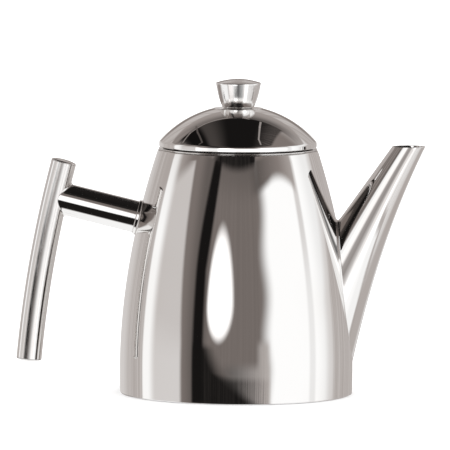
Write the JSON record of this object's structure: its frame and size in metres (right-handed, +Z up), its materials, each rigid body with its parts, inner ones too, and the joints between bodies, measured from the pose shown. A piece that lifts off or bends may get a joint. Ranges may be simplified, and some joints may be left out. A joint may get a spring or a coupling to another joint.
{
  "type": "teapot infuser",
  "caption": "Polished steel teapot with a cone spout, side bar handle, domed lid with a knob, and a lift-out perforated tea infuser.",
  "frame": {"origin": "centre of the pot's base on the table plane, on the pot's axis", "axes": "+Z up along the pot's axis, +X towards the spout, -X towards the handle, +Y sideways"},
  "size_m": [0.2039, 0.1166, 0.1573],
  "materials": {
    "polished_shell": "mirror polished stainless steel",
    "polished_fittings": "mirror polished stainless steel",
    "pressed_sheet": "satin stainless sheet",
    "infuser_sheet": "bright perforated stainless sheet",
    "fastener": "plain stainless"
  },
  "bodies": {
    "pot": {"body_shell": "polished_shell", "base_plate": "pressed_sheet", "spout": "polished_shell", "handle_collar": "polished_fittings", "handle_arm": "polished_fittings", "grip_tube": "polished_fittings", "grip_top_cap": "polished_fittings", "grip_bottom_cap": "polished_fittings"},
    "infuser": {"infuser_rim": "infuser_sheet", "infuser_screen": "infuser_sheet", "infuser_floor": "infuser_sheet"},
    "lid": {"lid_dome": "polished_shell", "lid_skirt": "pressed_sheet", "knob": "polished_fittings", "knob_washer": "fastener", "knob_screw": "fastener"}
  },
  "joints": [
    {"name": "infuser_lift", "type": "slide", "parent": "pot", "child": "infuser", "axis": [0, 0, 1], "range_m": [0, 0.11]},
    {"name": "lid_lift", "type": "slide", "parent": "infuser", "child": "lid", "axis": [0, 0, 1], "range_m": [0, 0.06]}
  ]
}
